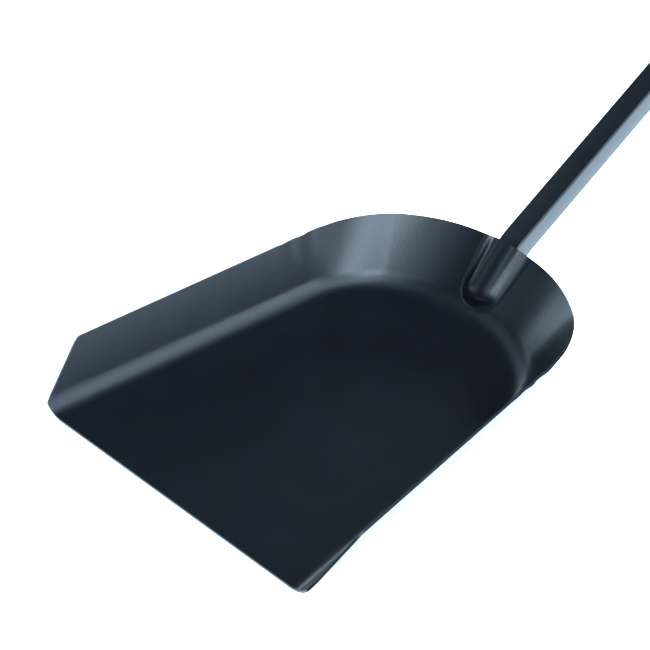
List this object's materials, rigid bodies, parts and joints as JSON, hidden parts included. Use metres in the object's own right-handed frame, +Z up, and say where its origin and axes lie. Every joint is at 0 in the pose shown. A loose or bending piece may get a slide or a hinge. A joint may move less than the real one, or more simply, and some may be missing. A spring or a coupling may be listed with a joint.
{
  "type": "scoop shovel",
  "caption": "Small pressed-steel scoop shovel: flat-floored pan with flared walls and a rounded back, square-tube handle welded into a pressed socket, wire hang loop.",
  "frame": {"origin": "centre of the pan's flat underside, on the surface the shovel stands on", "axes": "+X across the pan to its right-hand wall, +Y from the mouth towards the handle, +Z up out of the pan"},
  "size_m": [0.1764, 0.5388, 0.1948],
  "materials": {
    "pan_coat": "satin blue-black powder coat with fine orange peel",
    "handle_coat": "satin blue-black powder coat",
    "weld_coat": "powder coat over rippled weld beads",
    "plug_plastic": "moulded black plastic, fine texture",
    "loop_wire": "zinc-plated drawn wire"
  },
  "bodies": {
    "shovel": {"scoop_pan": "pan_coat", "handle_tube": "handle_coat", "weld_left": "weld_coat", "weld_right": "weld_coat", "weld_toe": "weld_coat", "end_plug": "plug_plastic"},
    "hang_loop": {"hang_loop": "loop_wire"}
  },
  "joints": [
    {"name": "hang_loop_swing", "type": "hinge", "parent": "shovel", "child": "hang_loop", "pos_m": [0, 0.42584, 0.1805], "axis": [1, 0, 0], "range_deg": [-46, 282]}
  ]
}
